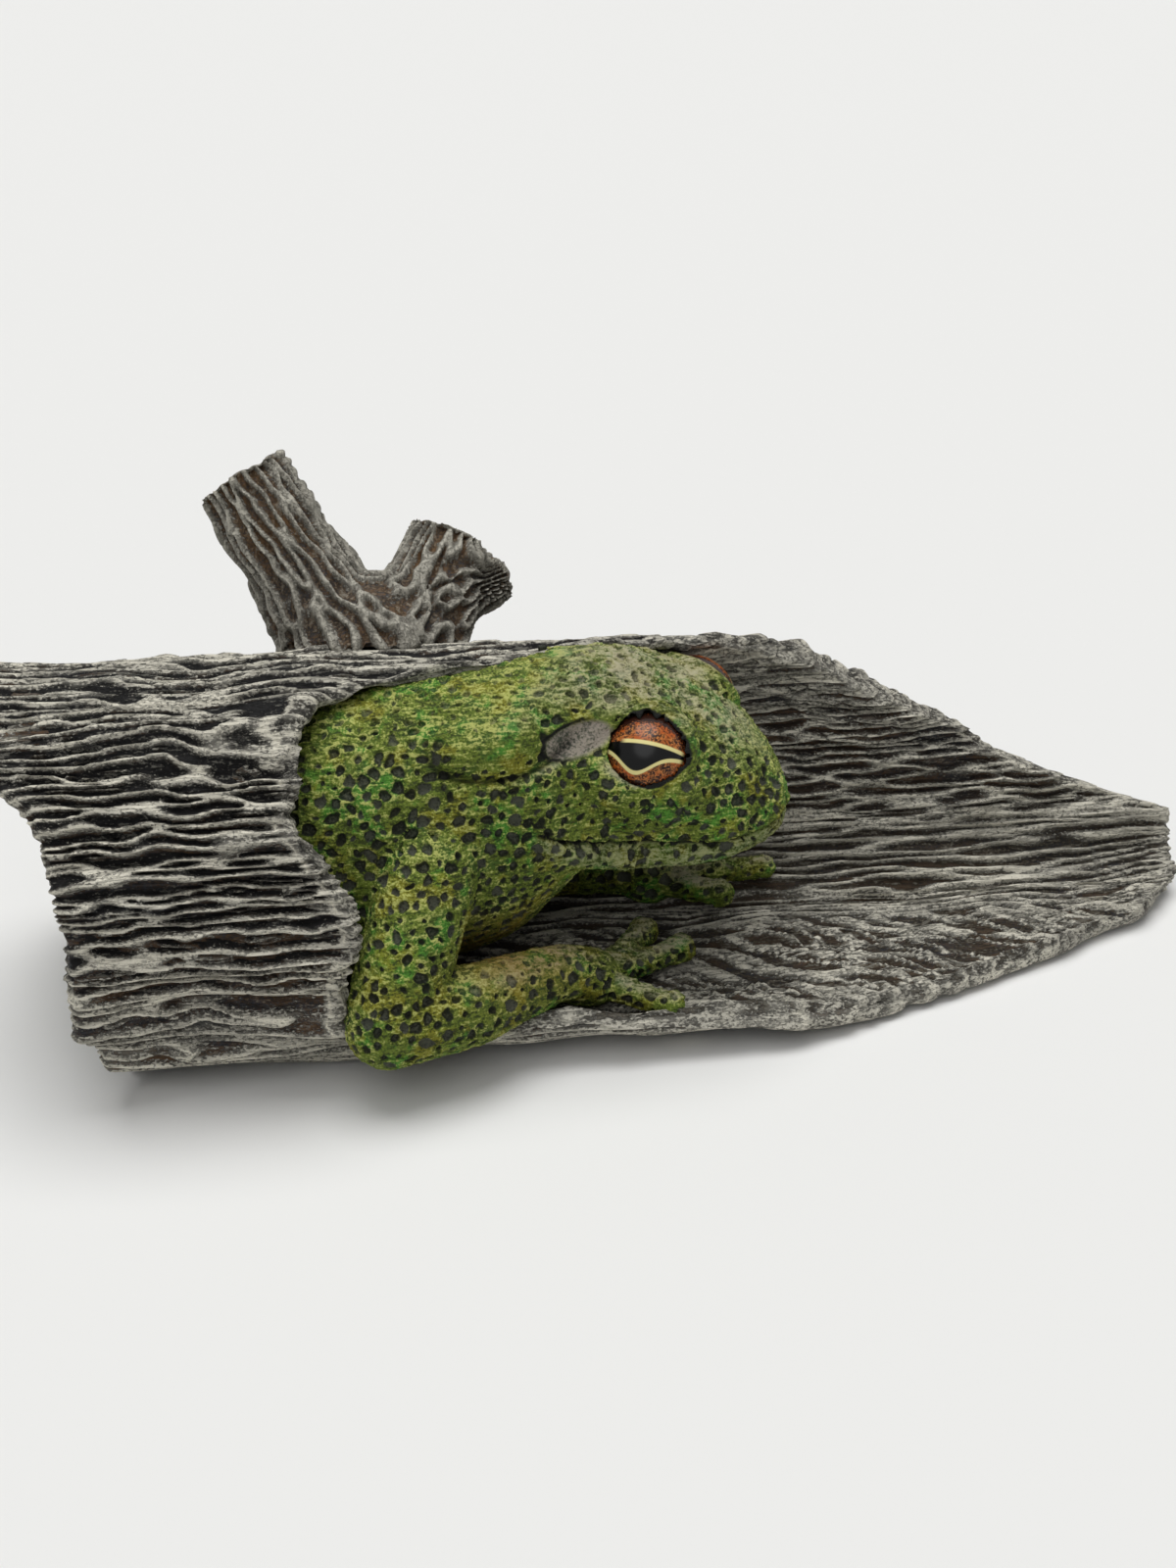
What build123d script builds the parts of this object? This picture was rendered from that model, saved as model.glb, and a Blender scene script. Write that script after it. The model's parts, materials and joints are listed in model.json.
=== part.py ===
from build123d import *

import os
from math import cos, radians, sin

# Frog figurine: a tree frog in the mouth of a hollow log, cast in resin pieces that are pinned and glued.
# +X runs along the log towards its torn open end, +Y is the side of the tall back wall and +Z is up.
# The origin lies on the felt's underside, below the log's axis. All lengths are millimetres.

# Hollow log
LOG_LENGTH = 202.0
LOG_LEFT_REACH = 97.0
LOG_HALF_WIDTH = 31.0
LOG_AXIS_HEIGHT = 26.8
LOG_CROWN = 31.0
LOG_KEEL = 30.0
LOG_WALL = 6.0
RIDGE_COUNT = 50
RIDGE_HEIGHT = 1.2
GRAIN_HEIGHT = 0.8
FLOOR_WALL_SHARE = 0.75
UPPER_ROUNDNESS_SHARE = 2.2
LOWER_ROUNDNESS_SHARE = 2.5

# Felt under the log
FELT_THICKNESS = 1.2
FELT_CORNER = 4.0
FELT_HALF_WIDTH = 14.0

# Frog's body and head
FROG_LENGTH = 102.0
FROG_HALF_WIDTH = 22.0
FROG_CROWN_DROP = 0.8
FROG_INSET = 20.0
FROG_SIDE_OFFSET = 1.0
SKIN_ROUNDNESS_SHARE = 2.3

# Eyes, each a bead in a socket under a brow
HEAD_YAW = 27.0
EYE_RADIUS = 7.0
EYE_LIFT = 20.0
EYE_FORWARD = 10.0
EYE_STANDOUT = 2.6
BROW_RADIUS = 8.4
BROW_SPACING = 18.0
EYE_LINE_FROM_SNOUT = 17.4
EYE_LINE_SIDE = 1.0
BROW_HEIGHT_SHARE = 0.7467

# Glands behind the ears, each a rounded swelling along the skin between two sections of the body
GLAND_RADIUS = 4.6
GLAND_ANGLE = 46.0
GLAND_DEPTH_SHARE = 0.88
GLAND_SECTIONS = (4, 5)

# Arms
ARM_RADIUS = 7.0
FINGER_RADIUS = 2.1
FINGER_TIP_RADIUS = 2.5

# Forked branch on the back of the log
BRANCH_REACH = 35.0
BRANCH_RADIUS = 9.2
BRANCH_ANGLE = 50.0
BRANCH_FROM_LEFT = 60.0

# Pins and their glue
BRANCH_PIN_RADIUS = 2.5
BRANCH_PIN_LENGTH = 15.0
BRANCH_PIN_SEAT = 3.0
ARM_PIN_RADIUS = 1.5
ARM_PIN_LENGTH = 12.0
ARM_PIN_SEAT = 1.6
GLUE_GAP = 0.1

# One row per stave of the log, going round from the back wall over the top, the front and the floor:
# angle in degrees, where it starts and ends along the log, and its thickness in walls.
STAVE_SHARES = [
    (0, 0.030, 0.812, 1.00),
    (10, 0.025, 0.768, 1.00),
    (20, 0.020, 0.726, 1.00),
    (32, 0.012, 0.686, 0.95),
    (43, 0.008, 0.646, 0.80),
    (54, 0.004, 0.598, 0.62),
    (65, 0.000, 0.542, 0.56),
    (75, 0.000, 0.480, 0.55),
    (85, 0.006, 0.405, 0.54),
    (94, 0.012, 0.310, 0.50),
    (103, 0.016, 0.252, 0.52),
    (115, 0.022, 0.236, 0.60),
    (128, 0.030, 0.232, 0.74),
    (138, 0.056, 0.232, 0.90),
    (150, 0.062, 0.236, 0.90),
    (160, 0.067, 0.254, 0.90),
    (170, 0.072, 0.270, 0.90),
    (180, 0.073, 0.272, 0.90),
    (190, 0.072, 0.262, 0.85),
    (201, 0.072, 0.256, 0.80),
    (208, 0.076, 0.270, 0.75),
    (214, 0.080, 0.330, 0.65),
    (220, 0.086, 0.470, 0.55),
    (226, 0.094, 0.600, 0.55),
    (233, 0.100, 0.655, 0.60),
    (240, 0.100, 0.690, 0.70),
    (250, 0.098, 0.748, 0.75),
    (260, 0.094, 0.805, 0.75),
    (270, 0.090, 0.880, 0.75),
    (277, 0.086, 0.942, 0.75),
    (285, 0.080, 0.960, 0.75),
    (294, 0.074, 0.975, 0.75),
    (304, 0.066, 0.988, 0.75),
    (314, 0.058, 0.998, 0.80),
    (322, 0.052, 1.000, 0.85),
    (330, 0.046, 0.992, 0.90),
    (337, 0.042, 0.952, 0.95),
    (345, 0.038, 0.900, 1.00),
    (353, 0.034, 0.856, 1.00),
]

# One row per cross-section of the frog, rump to snout: place along the frog and to the side, height of the
# widest line above the floor, turn of the spine in head yaws, then half width, height and depth.
BODY_SHARES = [
    (0.000, 0.000, 0.345, 0.00, 0.24, 0.095, 0.095),
    (0.070, 0.000, 0.365, 0.00, 0.70, 0.285, 0.275),
    (0.206, 0.020, 0.425, 0.00, 0.94, 0.455, 0.405),
    (0.343, 0.040, 0.470, 0.00, 1.00, 0.485, 0.445),
    (0.480, 0.030, 0.520, 0.13, 0.98, 0.455, 0.435),
    (0.608, 0.020, 0.580, 0.39, 0.91, 0.415, 0.410),
    (0.706, 0.023, 0.605, 0.71, 0.85, 0.400, 0.265),
    (0.785, 0.045, 0.575, 0.94, 0.79, 0.395, 0.152),
    (0.850, 0.000, 0.550, 1.00, 0.71, 0.350, 0.119),
    (0.922, -0.160, 0.545, 1.00, 0.58, 0.253, 0.111),
    (0.972, -0.275, 0.545, 1.00, 0.38, 0.144, 0.101),
    (1.000, -0.340, 0.545, 1.00, 0.14, 0.065, 0.050),
]
SKIN_POINTS = 12

# Joints of each arm: place along the frog, to the side and above the floor, and radius in arm radii.
# The last row is the palm.
RIGHT_ARM_SHARES = [
    (0.455, -0.80, 0.530, 1.08),
    (0.420, -1.08, 0.360, 1.02),
    (0.382, -1.33, 0.150, 1.00),
    (0.500, -1.20, 0.150, 0.86),
    (0.640, -0.82, 0.140, 0.62),
    (0.690, -0.68, 0.080, 0.66),
]
LEFT_ARM_SHARES = [
    (0.520, 0.78, 0.540, 1.06),
    (0.545, 0.95, 0.360, 0.96),
    (0.580, 0.82, 0.150, 0.92),
    (0.690, 0.84, 0.120, 0.80),
    (0.790, 0.76, 0.100, 0.60),
    (0.830, 0.72, 0.070, 0.64),
]
# Each finger: its middle joint and its tip, as shares of the same three sizes.
RIGHT_FINGER_SHARES = [
    ((0.745, -0.42, 0.070), (0.798, 0.02, 0.045)),
    ((0.775, -0.45, 0.055), (0.850, -0.22, 0.035)),
    ((0.745, -0.80, 0.055), (0.810, -0.98, 0.040)),
]
LEFT_FINGER_SHARES = [
    ((0.880, 0.60, 0.060), (0.945, 0.52, 0.042)),
    ((0.905, 0.76, 0.065), (1.030, 0.84, 0.055)),
    ((0.870, 0.84, 0.075), (0.955, 0.92, 0.085)),
]

# Branch: each limb's ends as shares of its reach, along X, out of the log and down its back, and end radii.
PRONG_SHARES = [
    ((-0.12, -0.10, 0.00), (-0.29, 0.34, -0.04), 1.08, 0.99),
    ((-0.29, 0.34, -0.04), (-0.57, 0.82, -0.14), 0.99, 0.87),
    ((0.12, -0.10, 0.00), (0.37, 0.55, 0.00), 1.08, 0.76),
    ((0.24, 0.20, 0.06), (0.62, 0.38, 0.10), 0.66, 0.46),
]
CROTCH_SHARES = (0.0, 0.03, 0.0)
CROTCH_RADIUS_SHARE = 1.34

# Felt outline: along the log, and across in felt half widths.
FELT_SHARES = [
    (0.130, -1.00),
    (0.630, -1.00),
    (0.760, -0.30),
    (0.900, 0.42),
    (0.900, 1.00),
    (0.130, 1.00),
]

LOG_AXIS_Z = FELT_THICKNESS + LOG_AXIS_HEIGHT
LOG_LEFT_X = -LOG_LEFT_REACH
FLOOR_Z = FELT_THICKNESS + FLOOR_WALL_SHARE * LOG_WALL
FROG_RUMP_X = LOG_LEFT_X + FROG_INSET
FROG_HEIGHT = LOG_AXIS_Z + LOG_CROWN - FROG_CROWN_DROP - FLOOR_Z
FULL_TURN = 360


def superellipse(angle, half_width, up, down, upper_roundness, lower_roundness):
    """Point across and up from the centre of a squarish oval, at an angle from its right side."""
    across = cos(radians(angle))
    rise = sin(radians(angle))
    power = 2 / (upper_roundness if rise > 0 else lower_roundness)
    side = half_width * abs(across) ** power
    height = (up if rise > 0 else down) * abs(rise) ** power
    return (side if across > 0 else -side), (height if rise > 0 else -height)


def log_outside(angle):
    """Across and height of the log's outer face at an angle, cut flat where the felt is."""
    across, rise = superellipse(
        angle, LOG_HALF_WIDTH, LOG_CROWN, LOG_KEEL, UPPER_ROUNDNESS_SHARE, LOWER_ROUNDNESS_SHARE
    )
    return across, max(LOG_AXIS_Z + rise, FELT_THICKNESS)


def inward(angle, depth):
    """Point of the log's wall, a depth below its outer face, towards the axis."""
    across, height = log_outside(angle)
    reach = (across**2 + (height - LOG_AXIS_Z) ** 2) ** 0.5
    keep = 1 - depth / reach
    return across * keep, LOG_AXIS_Z + (height - LOG_AXIS_Z) * keep


def stave_row(turn):
    """Row for a share of a turn round the log, read between the staves on either side."""
    stave = int(turn * len(STAVE_SHARES))
    share = turn * len(STAVE_SHARES) - stave
    first = STAVE_SHARES[stave % len(STAVE_SHARES)]
    angle, *others = STAVE_SHARES[(stave + 1) % len(STAVE_SHARES)]
    after = [angle if angle > first[0] else angle + FULL_TURN, *others]
    return [low + (high - low) * share for low, high in zip(first, after)]


def wall_section(step):
    """Lengthwise section of the log's wall on a ridge of its bark, or in the groove after it."""
    angle, start_share, end_share, wall_share = stave_row(step / (2 * RIDGE_COUNT))
    start = LOG_LEFT_X + start_share * LOG_LENGTH
    end = LOG_LEFT_X + end_share * LOG_LENGTH
    in_groove = step % 2 == 1
    on_felt = log_outside(angle)[1] <= FELT_THICKNESS
    outer = inward(angle, RIDGE_HEIGHT if in_groove and not on_felt else 0)
    inner = inward(angle, wall_share * LOG_WALL - (0 if in_groove else GRAIN_HEIGHT))
    corners = [(start, *outer), (end, *outer), (end, *inner), (start, *inner)]
    return Face(Wire.make_polygon(corners, close=True))


def make_log():
    """Ridged tube, torn open at the front right, with room for the eyes where they come near its wall."""
    front = [wall_section(step) for step in range(RIDGE_COUNT + 1)]
    back = [wall_section(step % (2 * RIDGE_COUNT)) for step in range(RIDGE_COUNT, 2 * RIDGE_COUNT + 1)]
    log = loft(front, ruled=True) + loft(back, ruled=True)
    for _, bead in eye_places():
        log -= Pos(bead) * Sphere(EYE_RADIUS + GLUE_GAP)
    return log


def make_felt():
    """Felt sheet glued in the flat under the log."""
    outline = [(LOG_LEFT_X + along * LOG_LENGTH, across * FELT_HALF_WIDTH) for along, across in FELT_SHARES]
    sheet = make_face(Polyline(*outline, close=True))
    sheet = fillet(sheet.vertices(), FELT_CORNER)
    return extrude(sheet, FELT_THICKNESS)


def frog_point(along, across, above):
    """Point from shares of the frog's length, half width and height."""
    return Vector(
        FROG_RUMP_X + along * FROG_LENGTH,
        FROG_SIDE_OFFSET + across * FROG_HALF_WIDTH,
        FLOOR_Z + above * FROG_HEIGHT,
    )


def skin_point(row, angle, depth_share=1.0):
    """Point on a cross-section of the frog, or under its skin by a share of the way to the middle."""
    along, across, above, turn, width, up, down = row
    yaw = radians(turn * HEAD_YAW)
    left = Vector(sin(yaw), cos(yaw), 0)
    side, rise = superellipse(
        angle,
        width * FROG_HALF_WIDTH,
        up * FROG_HEIGHT,
        down * FROG_HEIGHT,
        SKIN_ROUNDNESS_SHARE,
        SKIN_ROUNDNESS_SHARE,
    )
    return frog_point(along, across, above) + (left * side + Vector(0, 0, rise)) * depth_share


def body_section(row):
    """Cross-section of the frog, square to its turning spine."""
    outline = [skin_point(row, FULL_TURN * step / SKIN_POINTS) for step in range(SKIN_POINTS)]
    return Face(Wire([Spline(*outline, periodic=True)]))


def make_gland(angle):
    """Rounded swelling behind an ear."""
    back, front = [skin_point(BODY_SHARES[number], angle, GLAND_DEPTH_SHARE) for number in GLAND_SECTIONS]
    gland = pin_between(back, front, GLAND_RADIUS)
    return gland + Pos(back) * Sphere(GLAND_RADIUS) + Pos(front) * Sphere(GLAND_RADIUS)


def head_axes():
    """Middle between the brows, and the head's left."""
    yaw = radians(HEAD_YAW)
    middle = Vector(
        FROG_RUMP_X + FROG_LENGTH - EYE_LINE_FROM_SNOUT,
        EYE_LINE_SIDE,
        FLOOR_Z + BROW_HEIGHT_SHARE * FROG_HEIGHT,
    )
    return middle, Vector(sin(yaw), cos(yaw), 0)


def eye_places():
    """Brow centre and bead centre of the right and the left eye."""
    middle, left = head_axes()
    ahead = left.cross(Vector(0, 0, 1))
    places = []
    for side in (-1, 1):
        brow = middle + left * (side * BROW_SPACING / 2)
        level = left * (side * cos(radians(EYE_FORWARD))) + ahead * sin(radians(EYE_FORWARD))
        outward = level * cos(radians(EYE_LIFT)) + Vector(0, 0, sin(radians(EYE_LIFT)))
        places.append((brow, brow + outward * EYE_STANDOUT))
    return places


def make_body():
    """Torso and head in one casting, with glands, brows and eye sockets."""
    body = loft([body_section(row) for row in BODY_SHARES])
    for angle in (GLAND_ANGLE, FULL_TURN / 2 - GLAND_ANGLE):
        body += make_gland(angle)
    for brow, _ in eye_places():
        body += Pos(brow) * Sphere(BROW_RADIUS)
    for _, bead in eye_places():
        body -= Pos(bead) * Sphere(EYE_RADIUS + GLUE_GAP)
    return body


def between(start, end, start_radius, end_radius):
    """Tapered round bar between two points."""
    axis = end - start
    plane = Plane(origin=start, z_dir=axis)
    bar = Cone(start_radius, end_radius, axis.length, align=(Align.CENTER, Align.CENTER, Align.MIN))
    return plane * bar


def pin_between(start, end, radius):
    """Straight round bar between two points."""
    axis = end - start
    pin = Cylinder(radius, axis.length, align=(Align.CENTER, Align.CENTER, Align.MIN))
    return Plane(origin=start, z_dir=axis) * pin


def make_arm(joint_shares, finger_shares):
    """Upper arm, forearm, palm and fingers in one casting, from round bars and balls."""
    joints = [frog_point(*row[:3]) for row in joint_shares]
    radii = [row[3] * ARM_RADIUS for row in joint_shares]
    arm = Pos(joints[0]) * Sphere(radii[0])
    for start, end, near, far in zip(joints, joints[1:], radii, radii[1:]):
        arm += between(start, end, near, far)
        arm += Pos(end) * Sphere(far)
    for knuckle_shares, tip_shares in finger_shares:
        knuckle = frog_point(*knuckle_shares)
        tip = frog_point(*tip_shares)
        arm += between(joints[-1], knuckle, FINGER_TIP_RADIUS, FINGER_RADIUS)
        arm += Pos(knuckle) * Sphere(FINGER_RADIUS)
        arm += pin_between(knuckle, tip, FINGER_RADIUS)
        arm += Pos(tip) * Sphere(FINGER_TIP_RADIUS)
    return arm


def arm_pin(joint_shares):
    """Ends of the pin that goes sideways from the upper arm into the body."""
    middle = frog_point(*joint_shares[1][:3])
    outward = Vector(0, middle.Y, 0).normalized()
    start = middle + outward * ARM_PIN_SEAT
    return start, start - outward * ARM_PIN_LENGTH


def branch_frame():
    """Branch's seat on the log, with its directions out of the log and down its back."""
    across, height = log_outside(BRANCH_ANGLE)
    seat = Vector(LOG_LEFT_X + BRANCH_FROM_LEFT, across, height)
    out = Vector(0, across, height - LOG_AXIS_Z).normalized()
    return seat, out, Vector(0, out.Z, -out.Y)


def branch_point(along, outward, downward):
    """Point from shares of the branch's reach."""
    seat, out, down = branch_frame()
    return seat + (Vector(along, 0, 0) + out * outward + down * downward) * BRANCH_REACH


def make_branch():
    """Broken forked branch: two prongs and a side stub that grow from one crotch."""
    branch = Pos(branch_point(*CROTCH_SHARES)) * Sphere(CROTCH_RADIUS_SHARE * BRANCH_RADIUS)
    for start, end, near, far in PRONG_SHARES:
        foot = branch_point(*start)
        branch += Pos(foot) * Sphere(near * BRANCH_RADIUS)
        branch += between(foot, branch_point(*end), near * BRANCH_RADIUS, far * BRANCH_RADIUS)
    return branch


def branch_pin():
    """Ends of the pin that holds the branch on the log."""
    seat, out, _ = branch_frame()
    start = seat - out * BRANCH_PIN_SEAT
    return start, start + out * BRANCH_PIN_LENGTH


def largest(shape):
    """Biggest solid of a cut shape, without the slivers that lie inside the log."""
    return shape.solids().sort_by(SortBy.VOLUME)[-1]


def main():
    """Cut the pieces to their neighbours and write one file for each."""
    log = make_log()
    branch = largest(make_branch() - log)
    body = largest(make_body() - log)
    right_arm = largest(make_arm(RIGHT_ARM_SHARES, RIGHT_FINGER_SHARES) - log - body)
    left_arm = largest(make_arm(LEFT_ARM_SHARES, LEFT_FINGER_SHARES) - log - body)
    right_eye, left_eye = [Pos(bead) * Sphere(EYE_RADIUS) for _, bead in eye_places()]
    branch_hole = pin_between(*branch_pin(), BRANCH_PIN_RADIUS + GLUE_GAP)
    right_hole = pin_between(*arm_pin(RIGHT_ARM_SHARES), ARM_PIN_RADIUS + GLUE_GAP)
    left_hole = pin_between(*arm_pin(LEFT_ARM_SHARES), ARM_PIN_RADIUS + GLUE_GAP)
    pieces = {
        "hollow_log": log - branch_hole,
        "base_felt": make_felt(),
        "forked_branch": branch - branch_hole,
        "branch_pin": pin_between(*branch_pin(), BRANCH_PIN_RADIUS),
        "frog_body": body - right_hole - left_hole,
        "right_arm": right_arm - right_hole,
        "left_arm": left_arm - left_hole,
        "right_arm_pin": pin_between(*arm_pin(RIGHT_ARM_SHARES), ARM_PIN_RADIUS),
        "left_arm_pin": pin_between(*arm_pin(LEFT_ARM_SHARES), ARM_PIN_RADIUS),
        "right_eye": right_eye,
        "left_eye": left_eye,
    }
    os.makedirs("parts", exist_ok=True)
    for name, shape in pieces.items():
        print(name, len(shape.solids()), [round(solid.volume) for solid in shape.solids()])
        export_step(shape, f"parts/{name}.step")


main()
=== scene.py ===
"""Frog figurine in painted resin: a tree frog that looks out of a hollow log."""

import json
import logging
import math
from dataclasses import dataclass
from enum import Enum
from typing import Any, Callable, Sequence

import bpy
import numpy as np
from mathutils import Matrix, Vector, noise
from mathutils.bvhtree import BVHTree
from mathutils.kdtree import KDTree

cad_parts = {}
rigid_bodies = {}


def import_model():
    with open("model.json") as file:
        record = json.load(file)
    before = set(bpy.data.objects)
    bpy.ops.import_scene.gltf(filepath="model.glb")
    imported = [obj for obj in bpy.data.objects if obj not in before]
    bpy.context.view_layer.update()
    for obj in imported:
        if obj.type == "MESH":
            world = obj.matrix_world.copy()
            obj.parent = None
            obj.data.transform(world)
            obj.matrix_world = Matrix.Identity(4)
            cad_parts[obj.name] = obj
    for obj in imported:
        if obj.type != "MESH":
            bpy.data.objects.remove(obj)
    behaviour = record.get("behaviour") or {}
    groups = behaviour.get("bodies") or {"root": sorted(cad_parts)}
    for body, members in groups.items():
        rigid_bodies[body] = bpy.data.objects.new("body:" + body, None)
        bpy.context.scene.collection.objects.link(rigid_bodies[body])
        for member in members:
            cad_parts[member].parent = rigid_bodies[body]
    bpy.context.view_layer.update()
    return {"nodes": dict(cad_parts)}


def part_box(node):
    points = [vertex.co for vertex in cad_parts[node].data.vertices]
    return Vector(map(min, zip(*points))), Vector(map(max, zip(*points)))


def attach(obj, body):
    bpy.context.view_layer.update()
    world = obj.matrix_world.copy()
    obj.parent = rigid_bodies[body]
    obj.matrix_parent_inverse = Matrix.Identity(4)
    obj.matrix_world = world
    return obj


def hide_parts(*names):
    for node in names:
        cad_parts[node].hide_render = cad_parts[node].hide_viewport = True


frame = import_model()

log = logging.getLogger("figurine")

MM = 0.001
UP = np.array([0.0, 0.0, 1.0])
Triple = tuple[float, float, float]
Array = np.ndarray
Wall = dict[str, Array]
EVEN: Triple = (1.0, 1.0, 1.0)


class Side(Enum):
    """The frog's own right and left."""

    RIGHT = -1
    LEFT = 1

    @property
    def word(self) -> str:
        """The side's name in lower case."""
        return self.name.lower()


class Pick(Enum):
    """What is selected when edit-mode operators start."""

    ALL = "SELECT"
    NONE = "DESELECT"
    AS_IS = ""


def smooth(low: float, high: float, values: Array) -> Array:
    """Ease the values from 0 at low to 1 at high."""
    share = np.clip((values - low) / (high - low), 0.0, 1.0)
    return share * share * (3.0 - 2.0 * share)


def near(distance: Array, width: float) -> Array:
    """Bell that is 1 at no distance and fades over the width."""
    return np.exp(-((distance / width) ** 2))


def unit(vector: Array) -> Array:
    """The vector, or each row of vectors, at length one."""
    return vector / np.linalg.norm(vector, axis=-1, keepdims=True)


def ripple(points: Array) -> Array:
    """Smooth noise of about -1 to 1 at each row of three coordinates."""
    return np.fromiter((noise.noise(point) for point in points.tolist()), float, len(points))


def wander(*coordinates: Array | float) -> Array:
    """Smooth noise of about -1 to 1 where three coordinates, each a column or one number, meet."""
    return ripple(np.stack(np.broadcast_arrays(*coordinates), axis=1))


@dataclass(frozen=True)
class Ridges:
    """Long ridges that wander, meet and part again.

    Attributes:
        rate: Ridges to each one that is counted across the grain.
        seed: Which pattern to take.
        length: Millimetres after which a ridge wanders off.
        step: Share of a ridge over which the slope is measured.
        least_slope: Slope below which distances are no longer trusted.
    """

    rate: float
    seed: float
    length: float
    step: float = 0.08
    least_slope: float = 0.72

    def height(self, along: Array, number: Array) -> Array:
        """Shape the ridges.

        Args:
            along: Millimetres along the grain.
            number: Number of the ridge, with this pattern's own rate.

        Returns:
            A height that is zero on a ridge.
        """
        number = number + 0.5 * wander(along / 6.0, number / 1.5, self.seed + 20.0)
        total = 0.38 * np.sin(math.pi * number) + 0.9 * wander(along / self.length, number / 1.2, self.seed)
        return total + 0.4 * wander(along / self.length * 2.6, number / 0.8, self.seed + 9.0)

    def away(self, along: Array, ridge: Array, gap: float) -> Array:
        """Measure how far points lie from the nearest ridge.

        Args:
            along: Millimetres along the grain.
            ridge: Number of the ridge, counted across the grain.
            gap: Millimetres from one number to the next.

        Returns:
            Distance in millimetres, with a sign that changes on each ridge.
        """
        number = ridge * self.rate
        after, before = (self.height(along, number + step) for step in (self.step, -self.step))
        slope = np.abs(after - before) / (2.0 * self.step)
        return self.height(along, number) / np.maximum(slope, self.least_slope) * (gap / self.rate)


def scattered(points: Array, spacing: Array, seed: int) -> Array:
    """Pick points that keep clear of each other.

    Args:
        points: Rows of places in millimetres.
        spacing: Least distance to the next pick, at each point.
        seed: Order in which points are tried.

    Returns:
        Row numbers of the picks.
    """
    room = float(spacing.max())
    taken: dict[tuple[int, int, int], list[int]] = {}
    picks = []
    squares = np.floor(points / room).astype(int).tolist()
    spots = points.tolist()
    for row in np.random.default_rng(seed).permutation(len(points)).tolist():
        a, b, c = squares[row]
        spot, clear = spots[row], spacing[row]
        others = (
            other
            for i in (a - 1, a, a + 1) for j in (b - 1, b, b + 1) for k in (c - 1, c, c + 1)
            for other in taken.get((i, j, k), ())
        )
        if all(math.dist(spot, spots[other]) >= clear for other in others):
            taken.setdefault((a, b, c), []).append(row)
            picks.append(row)
    return np.array(picks)


def rgb(code: str) -> Triple:
    """Linear colour of an sRGB code such as "4d6b25"."""
    shares = [int(code[start:start + 2], 16) / 255.0 for start in (0, 2, 4)]
    return tuple(share / 12.92 if share <= 0.04045 else ((share + 0.055) / 1.055) ** 2.4 for share in shares)


def operator(operation: str, swap: bool = False) -> Callable[..., "Signal"]:
    """Make a method of Signal that adds a Math node.

    Args:
        operation: What the node does.
        swap: Whether the other value comes first.

    Returns:
        The method.
    """

    def method(self: "Signal", other: "Signal | float" = 0.0) -> "Signal":
        """Add the node."""
        first, second = (other, self) if swap else (self, other)
        return self.paint.add("ShaderNodeMath", {"operation": operation}, {0: first, 1: second})

    return method


@dataclass(frozen=True)
class Signal:
    """A shader socket that takes part in Python expressions."""

    paint: "Paint"
    socket: bpy.types.NodeSocket

    __add__ = operator("ADD")
    __radd__ = operator("ADD", swap=True)
    __sub__ = operator("SUBTRACT")
    __rsub__ = operator("SUBTRACT", swap=True)
    __mul__ = operator("MULTIPLY")
    __truediv__ = operator("DIVIDE")
    __abs__ = operator("ABSOLUTE")
    exp = operator("EXPONENT")
    power = operator("POWER")
    least = operator("MINIMUM")
    most = operator("MAXIMUM")

    def ease(self, low: float, high: float) -> "Signal":
        """Ease from 0 at low to 1 at high."""
        settings = {"interpolation_type": "SMOOTHSTEP"}
        return self.paint.add("ShaderNodeMapRange", settings, {"Value": self, "From Min": low, "From Max": high})


class Owner(Enum):
    """What nodes belong to: where it is kept, and the shader that they start from."""

    MATERIAL = ("materials", "Principled BSDF")
    WORLD = ("worlds", "Background")


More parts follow.
